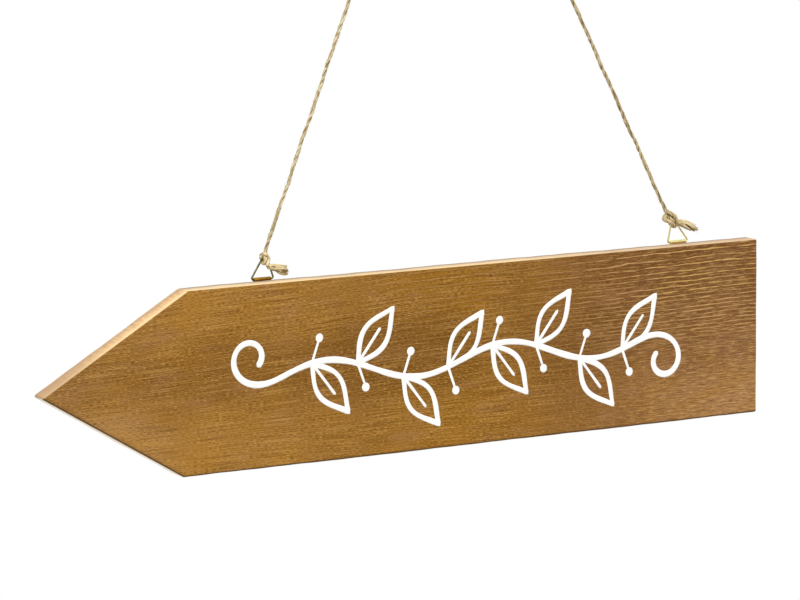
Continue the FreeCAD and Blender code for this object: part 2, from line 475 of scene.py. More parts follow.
def lay_twine(path, seed, pitch, offset, thick, wide, pale=0.0, start_size=1.0, sides=14):
    """Two plies round a path. Ply p's middle lies at offset, turned by 2 pi (length / pitch) + pi p. Its
    section is an oval, thick across the twine and wide along its skin. Hand-spun twine is uneven, so slow
    waves swell each ply, twist it more or less and let it wander; start_size thins the first millimetres.
    Returns points, faces and values per point: its place in the untwisted ply, how deep it lies, which sets
    its painted shade in the grooves, and how pale it is painted, as painted light."""
    _, side, up = carried_frame(path)
    length = run_length(path)
    middle = path + slow_waves(length, seed, (0.12, 5.9), (0.08, 2.7))[:, None] * side
    middle = middle + slow_waves(length, seed + 50, (0.12, 4.3), (0.08, 9.1))[:, None] * up
    uneven = slow_waves(length, seed + 60, (0.9, 8.3), (0.5, 3.1))
    around = circle_angles(sides)
    grown = (start_size + (1 - start_size) * soft_step(1.0, 4.0, length))[:, None]
    plies, laid, depth = [], [], []
    for ply in range(2):
        swell = 1 + slow_waves(length, seed + ply, (0.12, 4.7), (0.10, 11.3), (0.07, 1.9))[:, None]
        angle = (2 * np.pi * length / pitch + uneven + np.pi * ply)[:, None]
        outward = np.cos(angle) * side + np.sin(angle) * up
        across = np.cos(angle) * up - np.sin(angle) * side
        ahead = grown * (offset + swell * thick * np.cos(around))
        aside = grown * swell * wide * np.sin(around)
        skin = middle[:, None] + ahead[..., None] * outward[:, None] + aside[..., None] * across[:, None]
        plies.append((skin.reshape(-1, 3), tube_faces(len(path), sides)))
        twist = around + 2 * np.pi * length[:, None] / fibre_pitch
        straight = np.broadcast_to(length[:, None], twist.shape)
        turn_x, turn_y = ply_radius * np.cos(twist), ply_radius * np.sin(twist) + ply_apart * ply
        laid.append(np.stack([turn_x, turn_y, straight], -1).reshape(-1, 3))
        # Painted shade: points that lie deep between the plies are darkened.
        depth.append((1 - soft_step(offset, offset + 0.8 * thick, np.hypot(ahead, aside))).ravel())
    # Painted light: pale lightens the twine from its start on and takes its groove shade off.
    pale = np.tile(np.repeat(pale * soft_step(0.0, 4.0, length), sides), 2)
    depth = np.concatenate(depth) * (1 - pale)
    return *joined(plies), {"laid": np.concatenate(laid), "depth": depth, "pale": pale}


def creases(points, path):
    """Where turns of one twine press together: 1 at points that lie 0.85 mm from the middle of another turn,
    down to 0 at 1.45 mm. A turn is another one if it is over 3.2 mm away along the twine."""
    length = run_length(path)
    own = np.tile(np.repeat(length, len(points) // (2 * len(path))), 2)
    gap = np.linalg.norm(points[:, None] - path[None], axis=-1)
    gap[np.abs(own[:, None] - length[None]) < 3.2] = 9.0
    return 1 - soft_step(0.85, 1.45, gap.min(axis=1))


# %% [markdown]
# ### Jute
# Jute is pale straw with darker fibres, dull and hairy. The streak group runs along each ply through
# the untwisted coordinates that the mesh carries. Painted shade darkens the grooves between the plies
# and the right side, and painted light makes the knots and cut ends paler.


# %% Jute material
def make_jute():
    """Straw to tan by fibre streaks, olive and tan lengths, with painted shade in the grooves and on the
    right side.
    """
    material, tree, shader = begin_material("jute", 0.9, specular=0.1)
    laid = read_attribute(tree, "laid", "Vector")
    fibre = streaks(tree, laid, (5.0, 5.0, 0.35))
    blotch = streaks(tree, laid, (0.9, 0.9, 0.22))
    length = streaks(tree, laid, (0.05, 0.05, 0.13))
    straw = ramp(
        tree, fibre,
        (0.30, (164, 142, 100)), (0.44, (214, 197, 156)), (0.56, (238, 225, 190)), (0.70, (252, 245, 216)),
    )
    straw = tint(tree, straw, (186, 182, 136), length, 0.50, 0.36, 0.6, "MULTIPLY")
    straw = tint(tree, straw, (236, 208, 160), length, 0.52, 0.66, 0.5, "MULTIPLY")
    straw = tint(tree, straw, (176, 152, 108), blotch, 0.60, 0.36, 0.6, "MULTIPLY")
    across = parts_of(tree, object_place(tree))[0]
    # Painted shade on the right of the twine, left off its right cut end.
    shaded = times(tree, spread(tree, across, -0.01, 0.06, 0.0, 0.5), spread(tree, across, 0.129, 0.1245))
    straw = mix_colours(tree, shaded, straw, (206, 194, 168), "MULTIPLY")
    # Painted light: knots and cut ends go towards pale straw.
    straw = mix_colours(tree, read_attribute(tree, "pale"), straw, (252, 232, 184))
    # Painted shade in the grooves, where turns press together, and in the dark locks.
    painted_groove_shade = times(tree, read_attribute(tree, "depth"), spread(tree, blotch, 0.35, 0.6, 0.9, 0.3))
    tree.links.new(mix_colours(tree, painted_groove_shade, straw, (104, 82, 42)), shader.inputs["Base Color"])
    add_bump(tree, shader, fibre, 0.6, 0.0002)
    return material


jute = make_jute()

# %% Strand
points, faces, values = lay_twine(strand_path, seed=5, pitch=10.2, offset=0.41, thick=0.47, wide=0.67)
strand = make_piece("jute_strand", points, faces, jute, values)
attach(strand, "suspension")
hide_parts("twine")

# %% [markdown]
# ### Knots
# Each end of the twine goes over its ring's top bend, through the ring, round itself once and out to
# the right. The knot's own line is again a smooth spline, with control points measured from the ring's
# top bend, and the same two plies are wound about it.

# %% Knots round the rings
hinge_height, ring_height = -201.5, 10.0
hangers = {
    "left": {"x": -104.0, "lean": 1.5, "slide": 0.25},
    "right": {"x": 125.0, "lean": -2.4, "slide": -0.25},
}
ring_tops = {
    side: np.array([hanger["x"] + hanger["lean"], 0, hinge_height + ring_height])
    for side, hanger in hangers.items()
}
knot_controls = {
    "left": [
        (1.1, 0.0, 4.2), (0.7, -0.1, 2.9), (0.2, -0.5, 1.8), (0.0, -1.2, 0.6), (-0.1, -1.5, -0.8),
        (-0.1, -0.9, -2.4), (-0.3, 0.4, -3.1), (-0.6, 1.4, -2.1), (-0.8, 1.7, -0.5), (-0.8, 1.2, 1.0),
        (-0.7, -0.1, 1.9), (-0.3, -1.6, 1.7), (0.9, -1.3, 0.5), (1.7, -0.6, -1.1), (1.7, 0.4, -2.5),
        (0.9, 1.1, -2.2), (0.0, 1.7, -1.0), (-1.3, 1.3, 0.2), (-0.6, 0.6, 1.3), (0.1, -0.3, 0.8),
        (0.7, -1.0, -0.3), (0.8, -1.6, -1.8), (0.4, -1.7, -3.3), (1.4, -1.7, -4.2), (3.4, -1.7, -4.6),
    ],
    "right": [
        (-4.7, 0.0, 5.5), (-3.7, -0.4, 4.8), (-2.3, -1.0, 4.3), (-0.9, -1.6, 3.5), (0.0, -1.9, 1.9),
        (0.7, -1.9, 0.0), (0.7, -1.2, -1.8), (0.1, 0.1, -2.4), (-0.9, 1.1, -1.2), (-1.6, 1.4, 0.6),
        (-2.5, 1.0, 2.7), (-3.9, 0.6, 3.6), (-5.8, -0.1, 2.4), (-5.9, -0.8, 1.3), (-4.2, -1.2, 0.8),
        (-2.6, -1.3, 0.0), (-1.2, -1.2, -1.1), (-0.2, -0.4, -2.0), (0.7, 0.7, -1.4), (0.8, 1.2, 0.4),
        (0.0, 0.9, 2.2), (-1.4, 0.3, 3.0), (-2.6, -0.3, 2.3), (-2.2, -0.7, 1.1), (-0.8, -1.4, 0.9),
        (0.6, -1.8, -0.3), (2.2, -1.7, -0.4), (4.0, -1.6, -1.0),
    ],
}
# Painted light: the knots are painted paler, the left knot most.
knot_pale = {"left": 0.6, "right": 0.2}
knots, knot_paths = {}, {}
for seed, (side, controls) in enumerate(knot_controls.items(), start=21):
    path = route_points(f"knot_route_{side}", np.array(controls) + ring_tops[side], spacing=0.25)
    points, faces, values = lay_twine(
        path, seed, pitch=8.0, offset=0.44, thick=0.56, wide=0.84, pale=knot_pale[side], start_size=0.82
    )
    # Painted shade where turns of the knot press together.
    values["depth"] = np.maximum(values["depth"], 1.2 * creases(points, path))
    knot_paths[side] = path
    knots[side] = make_piece(f"jute_knot_{side}", points, faces, jute, values)
    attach(knots[side], "suspension")
    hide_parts(f"knot_{side}")


# %% [markdown]
# ### Loose ends and fuzz
# The free ends are cut short and come unlaid into a few tapering locks, and stray fibres stand off the
# twine all along. A lock is a bundle of fibres, and a fibre is a thin cone along a quadratic curve of
# three points.


# %% Fibres
def tapered_hairs(starts, bends, ends, root, tip, spots, depth, pale, sides, steps):
    """Cones along quadratic curves: place = (1-t)^2 start + 2t(1-t) bend + t^2 end, with the radius going
    from root to tip. All hairs are one array of (hair, step, side). Spots places each hair in the streaks, so
    neighbours share a tone; depth is each hair's painted shade, which grows with how far inside a lock it
    lies, and pale how light all are painted, as painted light."""
    t = np.linspace(0, 1, steps)[None, :, None]
    middle = (1 - t) ** 2 * starts[:, None] + 2 * t * (1 - t) * bends[:, None] + t ** 2 * ends[:, None]
    tangent = unit(2 * (1 - t) * (bends - starts)[:, None] + 2 * t * (ends - bends)[:, None] + 1e-9)
    side = unit(np.cross(tangent, (0.23, 0.91, 0.34)))
    up = np.cross(tangent, side)
    around = circle_angles(sides)
    radius = (root * (1 - t) + tip * t)[..., None]
    circle = np.cos(around)[:, None] * side[:, :, None] + np.sin(around)[:, None] * up[:, :, None]
    points = middle[:, :, None] + radius * circle
    count = steps * sides
    first = np.arange(len(starts))[:, None, None] * count
    faces = (first + grid_faces(steps, sides, wrap=True)[None]).reshape(-1, 4).tolist()
    faces += (first[:, 0] + np.arange(sides)[None, ::-1]).tolist()
    faces += (first[:, 0] + count - sides + np.arange(sides)[None]).tolist()
    length = np.linalg.norm(ends - starts, axis=1)[:, None, None]
    along = np.broadcast_to(t * length, points.shape[:3])
    turn_x = np.broadcast_to(0.1 * np.cos(around), along.shape) + spots[:, :1, None]
    turn_y = np.broadcast_to(0.1 * np.sin(around), along.shape) + spots[:, 1:, None]
    laid = np.stack([turn_x, turn_y, along], -1).reshape(-1, 3)
    values = {"laid": laid, "depth": np.repeat(depth, count), "pale": np.full(len(laid), pale)}
    return points.reshape(-1, 3), faces, values


# %% Cut ends
lock_fibres, tail_fuzz, fibre_root = 30, 60, 0.16
golden_angle = math.pi * (3 - math.sqrt(5))


def make_tail(side, locks, ragged):
    """A cut end made of locks, each given by its start, bend, end, root and tip radius and painted shade.
    Fibre k of a lock lies at k golden angles round its middle, at the radius that fills its round section
    evenly; the bundle opens and turns by half a radian to a ragged end. Also returns the roots and tips of
    its fuzz."""
    number = np.arange(lock_fibres)
    share = np.sqrt((number + 0.5) / lock_fibres)[:, None]
    angle = (number * golden_angle)[:, None]
    starts, bends, ends, spots, depth = [], [], [], [], []
    for lock, (*line, root, tip, dark) in enumerate(locks):
        start, bend, end = np.array(line) + ring_tops[side]
        ahead = unit(end - start)
        up = unit(np.cross((0, 1, 0), ahead))
        aside = np.cross(ahead, up)
        first, second, third = (
            share * (np.cos(angle + turned) * up + np.sin(angle + turned) * aside)
            for turned in (0, 0.25, 0.5)
        )
        starts.append(start + root * first)
        bends.append(bend + (root + tip) / 2 * second)
        cut = ahead * chance.uniform(-ragged, 0.5, (lock_fibres, 1))
        ends.append(end + tip * third + cut + chance.normal(0, 0.12, (lock_fibres, 3)))
        spots.append(0.9 * share * np.c_[np.cos(angle), np.sin(angle)] + (3.7 * lock, 5.0))
        # Painted shade: fibres deep inside a lock are darker, and the dark locks darker still.
        depth.append(np.maximum(dark, 0.3 * (1 - share[:, 0])))
    starts, bends, ends, spots, depth = map(np.concatenate, (starts, bends, ends, spots, depth))
    # pale=0.55 paints the cut ends paler, as painted light.
    points, faces, values = tapered_hairs(
        starts, bends, ends, fibre_root, 0.75 * fibre_root, spots, depth, pale=0.55, sides=6, steps=10
    )
    piece = make_piece(f"jute_tail_{side}", points, faces, jute, values)
    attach(piece, "suspension")
    pick = chance.integers(0, len(starts), tail_fuzz)
    leave = chance.uniform(0.3, 1.0, (tail_fuzz, 1))
    fuzz_start = starts[pick] * (1 - leave) + ends[pick] * leave
    stray = (ends[pick] - starts[pick]) * chance.uniform(0.08, 0.20, (tail_fuzz, 1))
    return piece, fuzz_start, fuzz_start + stray + chance.normal(0, 0.6, (tail_fuzz, 3))


# Each lock's last number is painted shade; the dark locks in front and behind stand for shadow between locks.
left_tail, left_roots, left_tips = make_tail("left", [
    ((1.9, -1.7, -3.6), (5.1, -1.7, -3.1), (10.2, -1.7, -4.6), 0.40, 0.30, 0.0),
    ((1.9, -1.7, -4.0), (5.7, -1.9, -4.3), (9.9, -1.9, -5.2), 0.50, 0.45, 0.0),
    ((0.6, -1.7, -4.7), (4.4, -1.9, -5.3), (10.5, -1.9, -6.0), 0.55, 0.60, 0.0),
    ((1.6, -1.7, -5.1), (5.3, -1.7, -6.5), (10.9, -1.8, -7.0), 0.45, 0.70, 0.2),
    ((4.8, -1.4, -6.0), (7.7, -1.0, -8.7), (11.2, -0.7, -8.4), 0.45, 0.70, 0.0),
    ((2.1, -0.6, -4.6), (6.2, -0.6, -5.6), (10.6, -0.6, -6.6), 0.60, 1.10, 1.5),
    ((-0.2, -2.0, -3.9), (1.6, -2.5, -4.3), (3.6, -2.5, -4.3), 0.30, 0.18, 1.6),
    ((2.6, -2.0, -5.9), (4.2, -2.4, -6.1), (6.0, -2.5, -6.4), 0.22, 0.20, 1.6),
    ((7.2, -2.4, -6.2), (8.6, -2.6, -6.6), (10.0, -2.6, -6.7), 0.18, 0.26, 1.6),
], ragged=1.2)
right_tail, right_roots, right_tips = make_tail("right", [
    ((0.6, -1.8, 0.6), (4.4, -1.8, 1.3), (11.1, -1.8, -2.8), 0.55, 0.45, 0.0),
    ((0.6, -1.9, -0.1), (4.9, -2.0, 0.0), (12.5, -2.0, -4.8), 0.60, 0.60, 0.0),
    ((3.0, -1.9, 0.2), (7.4, -1.9, -0.6), (12.2, -1.9, -3.9), 0.40, 0.45, 0.0),
    ((0.9, -1.7, -0.7), (4.6, -1.8, -1.5), (8.7, -1.8, -4.7), 0.55, 0.50, 0.0),
    ((2.2, -1.8, -1.6), (4.7, -1.9, -3.0), (7.6, -1.9, -4.1), 0.35, 0.28, 1.6),
    ((2.5, -0.8, -0.7), (6.5, -0.8, -1.6), (11.5, -0.8, -5.0), 0.60, 0.75, 1.5),
    ((5.0, -2.3, -1.1), (7.6, -2.6, -2.6), (10.3, -2.5, -4.5), 0.14, 0.30, 1.6),
], ragged=2.0)


# %% Fuzz
def stray_fibres(path, count, reach):
    """Roots on the twine's skin and tips that stand off it, leaning along the twine."""
    tangent, side, up = carried_frame(path)
    step = chance.integers(4, len(path) - 4, count)
    angle = chance.uniform(0, 2 * np.pi, count)[:, None]
    outward = np.cos(angle) * side[step] + np.sin(angle) * up[step]
    lean = chance.choice([-1, 1], count)[:, None] * chance.uniform(0.6, 2.2, count)[:, None]
    size = chance.uniform(0.35, 1.0, count)[:, None] * reach
    roots = path[step] + 0.7 * outward
    return roots, roots + size * (outward * chance.uniform(0.3, 1.0, count)[:, None] + lean * tangent[step])


fuzz_root = 0.055
strand_fuzz = stray_fibres(strand_path, count=620, reach=1.3)
knot_fuzz = [stray_fibres(path, count=70, reach=0.9) for path in knot_paths.values()]
fuzz_groups = [strand_fuzz, *knot_fuzz, (left_roots, left_tips), (right_roots, right_tips)]
fuzz_roots, fuzz_tips = map(np.concatenate, zip(*fuzz_groups))
fuzz_bends = (fuzz_roots + fuzz_tips) / 2 + chance.normal(0, 0.3, fuzz_roots.shape)
count = len(fuzz_roots)
spots = 1.7 * np.c_[np.arange(count), np.zeros(count)]
points, faces, values = tapered_hairs(
    fuzz_roots, fuzz_bends, fuzz_tips, fuzz_root, 0.4 * fuzz_root,
    spots, depth=np.zeros(count), pale=0.0, sides=3, steps=5,
)
fuzz = make_piece("jute_fuzz", points, faces, jute, values)
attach(fuzz, "suspension")

print("the strand leaves the left knot at", np.round(strand_path[0], 2))

# %% [markdown]
# ## Board
# One flat piece of wood, sawn to five straight edges and sanded round at the arrises. Brown stain covers
# its face, and the sawn edges stay pale. A flat box with a bump map would do from afar, but the light
# growth lines stand proud of a brushed face, so the face is a fine grid with that relief in it. A
# rounded rim is carried once round the grid's border, and a second grid closes the back.

# %% Outline of the board
board_front, board_back = -10.03, -1.03
board_top, board_bottom = -202.0, -287.0
point_x, square_end_x = -221.5, 164.5
lower_cut_x, upper_cut_x = -151.0, -148.0
rim_inset, arris_round = 0.9, 0.6
outline = np.array([
    (point_x, (board_top + board_bottom) / 2),
    (lower_cut_x, board_bottom),
    (square_end_x, board_bottom),
    (square_end_x, board_top),
    (upper_cut_x, board_top),
])
edge_run = unit(np.roll(outline, -1, axis=0) - outline)
edge_normal = np.c_[edge_run[:, 1], -edge_run[:, 0]]


def inset_corners(inset):
    """The outline moved in: a corner goes back along the sum of its edge normals over 1 + their product."""
    before = np.roll(edge_normal, 1, axis=0)
    product = np.sum(before * edge_normal, axis=1, keepdims=True)
    return outline - inset * (before + edge_normal) / (1 + product)


def edge_gaps(x, z):
    """How far a point lies inside each of the five edge lines, one array per edge."""
    return [(px - x) * nx + (pz - z) * nz for (px, pz), (nx, nz) in zip(outline, edge_normal)]


def depth_inside(x, z):
    """How far a point lies inside the outline: the least of its gaps to the edge lines."""
    return np.min(edge_gaps(x, z), axis=0)


print("the board is", square_end_x - point_x, "mm long and", board_top - board_bottom, "mm high")

# %% Growth rings
ring_least, ring_extra, ring_fall = 1.5, 2.3, 18.0
light_line, relief_height = 0.3, 0.06


def growth_depth(x, z):
    """Depth below the top edge, along the growth lines: they sink a little towards the point and wave."""
    warp = 0.35 * np.sin(x / 47 + 0.6) + 0.15 * np.sin(x / 19 + z / 9) + 0.08 * np.sin(x / 7.3 + z / 3.1)
    return board_top - z - 0.024 * np.clip(147 - x, 0, 130) + warp


def growth_rings(x, z):
    """Growth rings counted from the top edge down. Their spacing is least + extra * exp(-depth / fall), from
    3.8 mm to 1.5 mm, and the count is the integral of 1 / spacing."""
    grown = ring_least * np.exp(growth_depth(x, z) / ring_fall) + ring_extra
    return ring_fall / ring_least * np.log(grown / (ring_least + ring_extra)) - 0.1


def line_width(x, z):
    """Half the width of a ring's light line as a share of the ring: its size over the spacing there."""
    return light_line / (ring_least + ring_extra * np.exp(-growth_depth(x, z) / ring_fall))


def growth_strength(x, z):
    """The rings show most at the square end and near the top edge, and fade towards the arrow's point."""
    depth = board_top - z
    along = 0.35 * soft_step(-90, 20, x) + 0.65 * soft_step(40, 130, x)
    return along * (0.25 + 0.75 * np.exp(-depth / 60)) * (1 - 0.85 * soft_step(38, 56, depth))


def face_relief(x, z):
    """How far the face stands proud: a cosine wave per growth ring, let out near the border."""
    wave = 0.5 - 0.5 * np.cos(2 * np.pi * growth_rings(x, z))
    return relief_height * wave * growth_strength(x, z) * soft_step(1.0, 2.5, depth_inside(x, z))


print("rings at the square end:", round(float(growth_rings(square_end_x, board_bottom)), 1))


# %% Where the stain lies
def share_down(z):
    """How far down the board a point lies: 0 at the top edge, 1 at the bottom edge."""
    return (board_top - z) / (board_top - board_bottom)


def stain_depth(x, z):
    """How dark the stain lies: a band half-way down, which widens to the top edge at the square end. It is
    darkest in a patch left of the middle, and thin right of that."""
    share = share_down(z)
    band = np.exp(-((share - 0.47) / 0.24) ** 2) * soft_step(-215, -140, x)
    band = band * (1 - 0.45 * np.exp(-((x - 18) / 22) ** 2))
    patch = 0.75 * np.exp(-((x + 34) / 30) ** 2 - ((share - 0.45) / 0.2) ** 2)
    end = soft_step(20, 100, x) * (1 - soft_step(0.45, 0.85, share))
    return np.maximum(band + patch, end)


def stain_pale(x, z):
    """How far the stain has worn pale: below, next to the point's lower cut, and less at the square end."""
    share = share_down(z)
    left = soft_step(-145, -185, x) * soft_step(0.45, 0.8, share)
    right = soft_step(80, 140, x) * soft_step(0.55, 0.9, share)
    return np.maximum(0.5 * left, 0.32 * right)


# %% Board surface
def face_border(rows_half, columns):
    """Grid of a face and its border. Row r goes from the slanting cuts on the left to the square end, so
    x = left(r) + share (right - left(r)); the border is listed edge by edge, anticlockwise from the point."""
    tip, low_left, _, high_right, high_left = inset_corners(rim_inset)
    left = np.concatenate([np.linspace(high_left, tip, rows_half), np.linspace(tip, low_left, rows_half)[1:]])
    x = left[:, :1] + np.linspace(0, 1, columns) * (high_right[0] - left[:, :1])
    z = np.broadcast_to(left[:, 1:], x.shape)
    plan = np.stack([x, z], -1)
    half = rows_half - 1
    return plan, [plan[half:, 0], plan[-1], plan[::-1, -1], plan[0, ::-1], plan[:half + 1, 0]]


def rim_path(edges, corner_steps=5):
    """Border points with the normals along which the rim leaves them. At a corner the point stays and its
    normal turns from one edge's to the next's."""
    points, normals = [], []
    share = np.linspace(0, 1, corner_steps)[1:-1, None]
    for edge, here, ahead in zip(edges, edge_normal, np.roll(edge_normal, -1, axis=0)):
        points += [edge, np.repeat(edge[-1:], len(share), axis=0)]
        normals += [np.repeat(here[None], len(edge), axis=0), unit((1 - share) * here + share * ahead)]
    return np.concatenate(points), np.concatenate(normals)


def rim_section():
    """Section of the rim: out and back by quarter circles at both arrises, straight across the edge."""
    angle = np.linspace(0, np.pi / 2, 7)
    bend_out = rim_inset - arris_round * (1 - np.sin(angle))
    bend_in = arris_round * (1 - np.cos(angle))
    across = np.linspace(board_front + arris_round, board_back - arris_round, 6)[1:-1]
    out = np.r_[0, bend_out, np.full(len(across), rim_inset), bend_out[::-1], 0]
    deep = np.r_[board_front, board_front + bend_in, across, board_back - bend_in[::-1], board_back]
    return out, deep


def make_board(material):
    """Front grid with its relief, rim with a slightly uneven saw cut, and back grid, welded into one skin."""
    plan, edges = face_border(rows_half=104, columns=132)
    x, z = plan[..., 0], plan[..., 1]
    front = np.stack([x, board_front - face_relief(x, z), z], -1).reshape(-1, 3)
    back = np.stack([x, np.full_like(x, board_back), z], -1).reshape(-1, 3)
    base, normal = rim_path(edges)
    out, deep = rim_section()
    run = run_length(base)[:, None]
    sawn = 1 + 0.10 * np.sin(run / 23) + 0.07 * np.sin(run / 6.1 + 1) + 0.05 * np.sin(run / 2.3)
    plan_out = base[:, None] + normal[:, None] * (out * sawn)[..., None]
    rim = np.stack([plan_out[..., 0], np.broadcast_to(deep, plan_out.shape[:2]), plan_out[..., 1]], -1)
    closed = np.concatenate([rim, rim[:1]])
    face = grid_faces(*plan.shape[:2])
    rim_faces = grid_faces(*closed.shape[:2]) + 2 * len(front)
    points = np.concatenate([front, back, closed.reshape(-1, 3)])
    faces = np.concatenate([face, face + len(front), rim_faces])
    return make_piece("arrow_board", points, faces, material, weld=True)


def mark_board(mesh):
    """Values that the wood's finish reads at each point: the rings, the stain, painted shade on the two lower
    arrises, and the edges. An edge's three parts say how bare it is, whether it is a cut across the grain,
    and whether it faces down, where painted light turns it cream."""
    x, y, z = mesh_points(mesh).T / MM
    inside = depth_inside(x, z)
    nearest = np.argmin(edge_gaps(x, z), axis=0)
    lower_cut, bottom, square_end, _, upper_cut = (nearest == edge for edge in range(5))
    bare = 1 - soft_step(0.12, 0.42, inside - 0.35 * upper_cut)
    below = lower_cut | bottom
    near_front = 1 - soft_step(0.4, 0.9, y - board_front)
    on_arris = soft_step(-0.2, 0.2, inside) * (1 - soft_step(0.5, 1.1, inside))
    add_attribute(mesh, "rings", growth_rings(x, z))
    add_attribute(mesh, "line_width", line_width(x, z))
    add_attribute(mesh, "ring_strength", np.where(y < board_front + 0.1, growth_strength(x, z), 0))
    add_attribute(mesh, "stain_depth", stain_depth(x, z))
    add_attribute(mesh, "stain_pale", stain_pale(x, z))
    # Painted shade: the front arrises of the lower cut and the bottom are darkened.
    add_attribute(mesh, "painted_arris_shade", below * near_front * on_arris)
    add_attribute(mesh, "edge", np.stack([bare, lower_cut | square_end | upper_cut, below], -1))
    print("board values:", sorted(mesh.attributes.keys()))


# %% [markdown]
# ### Stained wood
# The stain is golden near the point, deeper in the middle and a little redder towards the square end.
# Short flecks and long thin strips run along the grain all over, and sink a little towards the point.
# The mesh carries a smooth count of growth rings, and its fraction draws each ring: a light line of
# hard wood with a dark line on both sides, darker wood and partly painted shadow of the ridge. The sawn
# edges are bare and peach-coloured, and the two lower front arrises get painted shade.


# %% Growth lines
def growth_line_masks(tree, place):
    """Light and dark lines of each ring. The fraction of the count is half-way at the light line, which has a
    dark line on both sides, darker wood and partly painted shadow of the ridge; noise sways the count and
    breaks the lines up."""
    sway = calculate(tree, "SUBTRACT", streaks(tree, place, (60.0, 1.0, 260.0)), 0.5)
    count = times_plus(tree, sway, 0.7, read_attribute(tree, "rings"))
    count = calculate(tree, "SUBTRACT", count, 0.11)
    count = times_plus(tree, streaks(tree, place, (200.0, 1.0, 700.0)), 0.22, count)
    away = calculate(tree, "ABSOLUTE", calculate(tree, "SUBTRACT", calculate(tree, "FRACT", count), 0.5))
    broken = spread(tree, streaks(tree, place, (30.0, 1.0, 420.0)), 0.32, 0.52, 0.4, 1.0)
    dashed = spread(tree, streaks(tree, place, (130.0, 1.0, 900.0)), 0.38, 0.54, 0.25, 1.15)
    strength = times(tree, broken, read_attribute(tree, "ring_strength"))
    width = read_attribute(tree, "line_width")
    line = spread(tree, away, times(tree, width, 1.5), times(tree, width, 0.35))
    light = times(tree, line, times(tree, strength, dashed))
    return light, times(tree, spread(tree, away, 0.38, 0.20), strength)


# %% Bare edges
def make_bare_wood(tree, place, along, deep, slanting, below):
    """Bare edges: fine lines along the long edges, specks on the sawn cuts. A painted highlight makes them
    lightest at the front arris and painted shade greyer at the back; they are duller at the square end and
    the point, and painted light makes them cream where they face down."""
    line = streaks(tree, place, (45.0, 1500.0, 700.0))
    speck = streaks(tree, place, (700.0, 160.0, 700.0))
    long_edge = ramp(tree, line, (0.34, (214, 186, 148)), (0.68, (242, 216, 176)))
    cut = ramp(tree, speck, (0.34, (216, 174, 126)), (0.68, (242, 202, 152)))
    bare = mix_colours(tree, slanting, long_edge, cut)
    # Painted highlight along the front arris.
    bare = tint(tree, bare, (248, 218, 162), deep, -0.0066, -0.0092, 0.6)
    bare = tint(tree, bare, (204, 172, 144), along, -0.02, 0.15, 0.6)
    # Painted shade towards the back of the edges, less on the sawn cuts.
    behind = times(tree, spread(tree, deep, -0.0065, -0.0030), spread(tree, slanting, 0.0, 1.0, 0.85, 0.4))
    bare = mix_colours(tree, behind, bare, (160, 138, 114))
    bare = tint(tree, bare, (184, 150, 116), along, -0.175, -0.215, 0.75)
    # Painted light: edges that face down are near white cream.
    return mix_colours(tree, times(tree, below, 0.95), bare, (253, 240, 220))


